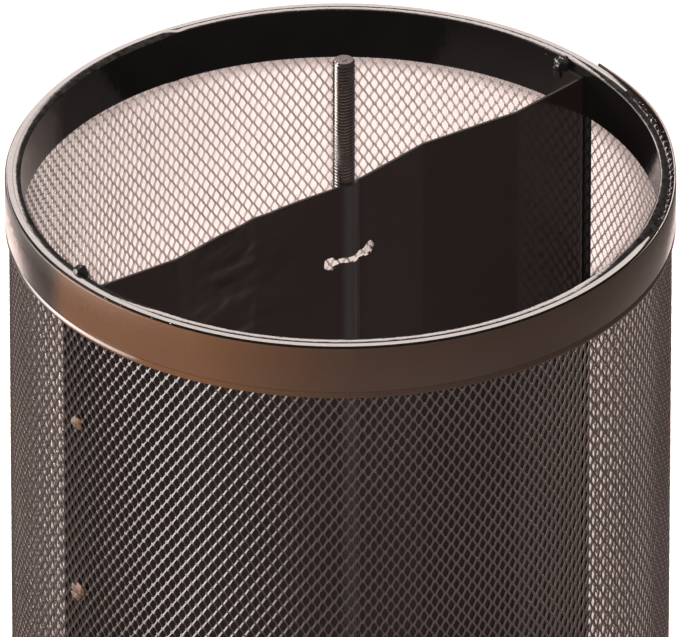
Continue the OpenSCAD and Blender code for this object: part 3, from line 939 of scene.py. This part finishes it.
def pan_head(z0, z1, r):
    """A pan-head screw with its head down and a recess in it."""
    outline = [(0.0, z0 + 1.3 * MM), (0.9 * MM, z0 + 1.2 * MM), (1.3 * MM, z0), (r * 0.62, z0),
               (r * 0.88, z0 + 0.5 * MM), (r, z0 + 1.5 * MM), (r, z0 + 3.1 * MM), (r * 0.9, z0 + 3.3 * MM),
               (SCREW_R, z0 + 3.3 * MM)]
    pitch = 0.8 * MM
    z = z0 + 3.6 * MM
    while z < z1 - pitch:
        outline += [(SCREW_R, z), (SCREW_R - 0.4 * MM, z + pitch / 2)]
        z += pitch
    outline += [(SCREW_R - 0.3 * MM, z1 - 0.2 * MM), (SCREW_R - 0.6 * MM, z1), (0.0, z1)]
    return to_mesh("screw", *revolve(outline, 28, False, (FOOT_RING, 0)))


def hex_nut(z0, z1, flat):
    """A hexagon nut with chamfered corners and a bore."""
    verts, seg = [], 48
    corner = flat / math.cos(math.pi / 6)
    rows = [(SCREW_R, z0, 0), (flat * 0.97, z0, 0), (corner, z0 + 0.35 * MM, 1), (corner, z1 - 0.35 * MM, 1),
            (flat * 0.97, z1, 0), (SCREW_R, z1, 0)]
    for r, z, six in rows:
        for s in range(seg):
            a = 2 * math.pi * s / seg
            off = (a + math.pi / 6) % (math.pi / 3) - math.pi / 6
            rr = flat / math.cos(off) if six else r
            verts.append((FOOT_RING + rr * math.cos(a), rr * math.sin(a), z))
    return to_mesh("hex_nut", verts, loft(len(rows), seg, True))


def at_feet(name, mesh, mat, node, sharp=32):
    """Four copies of a mesh, one at each foot."""
    obj = repeated(name, mesh, mat, 4, math.pi / 2, 0.5)
    attribute(obj.data, "wear", np.zeros(len(obj.data.vertices)))
    return settle(obj, mat, "bin", [node], sharp)


foot_top, RIB, SOCKET_R, SOCKET_Z, HOLE_R = feet_high.z, 0.5 * MM, 5.4 * MM, 4.85 * MM, 2.7 * MM
ribs = []
for k in range(4):
    z = 3.2 * MM + 4 * RIB * k
    ribs += [(FOOT_RADIUS, z, 0.2 * MM), (FOOT_RADIUS - RIB, z + RIB, 0.2 * MM),
             (FOOT_RADIUS - RIB, z + 2 * RIB, 0.2 * MM), (FOOT_RADIUS, z + 3 * RIB, 0.2 * MM)]
foot_side = [(SOCKET_R, 0.0, 0.4 * MM), (FOOT_RADIUS - 0.8 * MM, 0.0, 0.8 * MM),
             (FOOT_RADIUS, 1.4 * MM, 0.6 * MM)]
foot_side += ribs[:-1] + [(FOOT_RADIUS, foot_top, 0.6 * MM), (HOLE_R, foot_top, 0.2 * MM),
                          (HOLE_R, SOCKET_Z, 0.2 * MM), (SOCKET_R, SOCKET_Z, 0.3 * MM)]
foot = to_mesh("foot", *revolve(rounded(foot_side, 2), 48, True, (FOOT_RING, 0)))
at_feet("rubber_pads", foot, RUBBER, "rubber_feet")
at_feet("foot_screws_m5", pan_head(screw_low.z, screw_high.z, 4.75 * MM), ZINC, "foot_screws")
washer_side = rounded([(2.75 * MM, washer_low.z, 0.1 * MM), (5 * MM, washer_low.z, 0.25 * MM),
                       (5 * MM, washer_high.z, 0.25 * MM), (2.75 * MM, washer_high.z, 0.1 * MM)], 2)
washer = to_mesh("washer", *revolve(washer_side, 40, True, (FOOT_RING, 0)))
at_feet("foot_washers_m5", washer, ZINC, "foot_washers")
at_feet("foot_nuts_m5", hex_nut(nut_low.z, nut_high.z, 4 * MM), ZINC, "foot_nuts", 28)


# ---- ash pans
PAN_Y, PAN_T, LIP = 8 * MM, 1 * MM, 2 * MM
PAN_R = pan_high.y - LIP
PAN_FLOOR = 8.5 * MM


def half_round(radius, c, count):
    """A closed half-round outline with corners of radius c: place, outward direction, and 1 on the curved side."""
    cx = math.sqrt((radius - c) ** 2 - (PAN_Y + c) ** 2)
    opening = math.atan2(PAN_Y + c, cx)
    pts = []
    for k in range(count + 1):
        a = opening + (math.pi - 2 * opening) * k / count
        pts.append((radius * math.cos(a), radius * math.sin(a), math.cos(a), math.sin(a), 1.0))

    def corner(side, start, end):
        turns = [(k / 8, start + (end - start) * k / 8) for k in range(1, 9)]
        return [(side * cx + c * math.cos(a), PAN_Y + c + c * math.sin(a), math.cos(a), math.sin(a),
                 max(0.0, 1 - 1.6 * t)) for t, a in turns]

    pts += corner(-1, math.pi - opening, 1.5 * math.pi)
    pts += [(-cx + 2 * cx * k / 40, PAN_Y, 0.0, -1.0, 0.0) for k in range(1, 40)]
    return pts + corner(1, opening, -math.pi / 2)[::-1]


def make_pan(name, node, body, sign, seed):
    """A folded half-round tray on a skirt, with a rolled lip round its curved side."""
    pts = half_round(PAN_R, 5 * MM, 90)
    z0, z1 = pan_low.z, pan_high.z
    floor = z0 + PAN_FLOOR
    f = 2.5 * MM
    outer = [(0.0, z0 + 0.2 * MM), (0.0, z1 - 2.0 * MM)]
    roll = []
    for k in range(9):
        a = math.radians(200 - 28 * k)
        roll.append((LIP / 2 + LIP / 2 * math.cos(a), z1 - LIP / 2 + LIP / 2 * math.sin(a)))
    inner = [(-PAN_T, z1 - 2.0 * MM), (-PAN_T, floor + PAN_T + f)]
    for k in range(1, 7):
        a = math.radians(15 * k)
        inner.append((-PAN_T - f + f * math.cos(a), floor + PAN_T + f - f * math.sin(a)))
    under = [(-PAN_T - f, floor), (-PAN_T - 0.4 * MM, floor - 0.2 * MM), (-PAN_T, floor - 1.0 * MM),
             (-PAN_T, z0 + 0.2 * MM), (-PAN_T * 0.8, z0), (-PAN_T * 0.2, z0)]
    loops = []
    for off, z in under + outer + [("roll", k) for k in range(len(roll))] + inner:
        ring = []
        for x, y, nx, ny, curved in pts:
            if off == "roll":
                o, zz = roll[z]
                k = z / (len(roll) - 1)
                flat_o = -PAN_T / 2 + PAN_T / 2 * math.cos(math.pi * k)
                o = o * curved + flat_o * (1 - curved)
                zz = zz * curved + (z1 - 0.4 * MM * (2 * k - 1) ** 2) * (1 - curved)
            else:
                o, zz = off, z
            calm = 1.0 if zz > floor + 8 * MM and zz < z1 - 3 * MM else 0.0
            o += calm * wobble((x, y, zz), 0.12 * MM, 25, seed)
            ring.append((x + nx * o, sign * (y + ny * o), zz))
        loops.append(ring)
    n = len(pts)
    verts = [v for ring in loops for v in ring]
    faces = loft(len(loops), n)
    cy = (PAN_R + PAN_Y) * 0.45
    for q, z in ((len(loops) - 1, floor + PAN_T), (0, floor)):
        ring = loops[q]
        last = q * n
        for k in (0.7, 0.4, 0.12):
            base = len(verts)
            for x, y, _ in ring:
                level = z + wobble((x * k, y * k, 0), 0.15 * MM, 20, seed)
                verts.append((x * k, sign * (cy + (sign * y - cy) * k), level))
            for s in range(n):
                t = (s + 1) % n
                faces.append((last + s, last + t, base + t, base + s))
            last = base
        faces.append([last + s for s in range(n)])
    return settle(link(name, to_mesh(name, verts, faces)), GALVANISED, body, [node], 50)


def tube_along(points, radius, around=14):
    """A round wire along points, with rounded tips."""
    pts = [Vector(p) for p in points]
    verts = []
    up = Vector((0, 1, 0))
    tips = [(0.2, 0.98), (0.6, 0.8), (0.92, 0.4)]
    d0 = (pts[1] - pts[0]).normalized()
    d1 = (pts[-1] - pts[-2]).normalized()
    rings = [(pts[0] + d0 * radius * (1 - back), d0, radius * k) for k, back in tips]
    rings += [(here, (after - before).normalized(), radius) for before, here, after in zip(pts, pts[1:], pts[2:])]
    rings += [(pts[-1] - d1 * radius * (1 - back), d1, radius * k) for k, back in reversed(tips)]
    for p, d, r in rings:
        side = d.cross(up).normalized()
        for s in range(around):
            a = 2 * math.pi * s / around
            verts.append(tuple(p + side * (r * math.cos(a)) + up * (r * math.sin(a))))
    faces = loft(len(rings), around)
    faces += [list(range(around)), [(len(rings) - 1) * around + s for s in range(around)]]
    return verts, faces


def make_handle(name, node, body, sign):
    """A wire loop, with beads that hold its legs to the pan's flat wall."""
    r = (wire_high.y - wire_low.y) / 2
    y = sign * (wire_high.y + wire_low.y) / 2
    leg = wire_high.x - r
    z0, z1 = wire_low.z, wire_high.z - r
    bend = 12 * MM
    path = [(-leg, y, z0), (-leg, y, z0 + 3 * MM)]
    path += [(-leg, y, z0 + (z1 - bend - z0) * k / 10) for k in range(1, 10)]
    path += [(-leg + bend - bend * math.cos(math.radians(a)), y, z1 - bend + bend * math.sin(math.radians(a)))
             for a in range(0, 91, 9)]
    path += [(-leg + bend + (2 * leg - 2 * bend) * k / 12, y, z1) for k in range(1, 12)]
    path += [(-x, yy, z) for x, yy, z in reversed(path[:22])]
    settle(link(name, to_mesh(name, *tube_along(path, r))), PAN_WIRE, body, [node], 60)
    places = []
    for side in (-1, 1):
        for z in (z0 + 6 * MM, z0 + 22 * MM):
            for dx in (-2.1, 2.1):
                places.append(((side * leg + dx * MM, sign * (PAN_Y + PAN_T + 0.6 * MM), z),
                               LEVEL_AXES, (1.2 * MM, 0.9 * MM, 3.0 * MM)))
    beads(name + "_beads", places, PAN_WIRE, [], body, 0.25, 2)


make_pan("front_pan_tray", "front_ash_pan", "front_pan", -1, 3.0)
make_pan("rear_pan_tray", "rear_ash_pan", "rear_pan", 1, 8.0)
make_handle("front_pan_wire", "front_pan_handle", "front_pan", -1)
make_handle("rear_pan_wire", "rear_pan_handle", "rear_pan", 1)

# ---- side bars keep their CAD shape
for node in ("left_side_bar", "right_side_bar"):
    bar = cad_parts[node]
    bar.data.materials.clear()
    bar.data.materials.append(HOOP_PAINT)

# ---- camera
FRAME_W, AIM_Z, AIM_LEFT, FAR, SENSOR = 0.2434, 0.539, 0.00036, 9.0, 36.0
aim = Vector((0, 0, AIM_Z))
back = Vector((math.sin(VIEW_TURN) * math.cos(VIEW_RISE), -math.cos(VIEW_TURN) * math.cos(VIEW_RISE),
               math.sin(VIEW_RISE)))
right = Vector((math.cos(VIEW_TURN), math.sin(VIEW_TURN), 0))
camera_data = bpy.data.cameras.new("camera")
camera_data.sensor_width = SENSOR
camera_data.lens = SENSOR * FAR / FRAME_W
camera_data.clip_start, camera_data.clip_end = 0.1, 100.0
camera = link("camera", camera_data)
camera.location = aim - right * AIM_LEFT + back * FAR
camera.rotation_mode = "QUATERNION"
camera.rotation_quaternion = (-back).to_track_quat("-Z", "Y")
bpy.context.scene.camera = camera


# ---- floor and light
def make_floor():
    f = Finish("pale_floor")
    tone = f.spread(f.noise(0.8, 2.0), 0.3, 0.7)
    f.set(Base_Color=f.mix(tone, rgb(0.85, 0.72, 0.69), rgb(0.87, 0.74, 0.71)))
    f.set(Roughness=f.spread(tone, 0, 1, 0.7, 0.8))
    bm = bmesh.new()
    bmesh.ops.create_circle(bm, cap_ends=True, segments=96, radius=60.0)
    floor = link("floor", from_bmesh("floor", bm))
    floor.data.materials.append(f.mat)


make_floor()


def ground(turn):
    """The level direction at an angle from the camera's side, counted clockwise from above."""
    a = VIEW_TURN - math.radians(turn)
    return Vector((math.sin(a), -math.cos(a), 0))


def shine(name, kind, spot, target, power, colour, **props):
    """A light at a spot, turned to a target, which the camera doesn't see."""
    data = bpy.data.lights.new(name, kind)
    data.energy, data.color = power, colour
    for k, v in props.items():
        setattr(data, k, v)
    obj = link(name, data)
    obj.location = spot
    obj.rotation_mode = "QUATERNION"
    obj.rotation_quaternion = (Vector(spot) - Vector(target)).to_track_quat("Z", "Y")
    obj.visible_camera = False
    return obj


def soft_light(name, turn, reach, height, size, power, colour, target=(0, 0, 0.6), spread=180):
    spot = ground(turn) * reach + Vector((0, 0, height))
    return shine(name, "AREA", spot, target, power, colour, shape="RECTANGLE", size=size[0], size_y=size[1],
                 spread=math.radians(spread))


world = bpy.data.worlds.new("studio")
world.use_nodes = True
world.node_tree.nodes["Background"].inputs["Color"].default_value = (1.0, 0.95, 0.93, 1)
world.node_tree.nodes["Background"].inputs["Strength"].default_value = 0.09
bpy.context.scene.world = world
bpy.context.scene.view_settings.view_transform = "Standard"
bpy.context.scene.view_settings.look = "None"

soft_light("rim_softbox", -178, 5.0, 3.64, (1.8, 1.3), 78, (1, 0.87, 0.82))
soft_light("left_panel", 100, 1.35, 0.75, (1.7, 0.9), 15, (1, 0.93, 0.89), spread=80)
soft_light("high_left", 120, 1.6, 2.3, (0.8, 0.6), 10, (1, 0.95, 0.92))
soft_light("side_pool", 153, 1.05, 1.5, (0.2, 0.2), 2.2, (1, 0.92, 0.88), ground(153), 24)
key = shine("key", "SPOT", aim + back * 12.0, aim, 17800, (1, 0.975, 0.96), spot_size=math.radians(4.3),
            spot_blend=0.4, shadow_soft_size=0.03)
key.visible_glossy = False
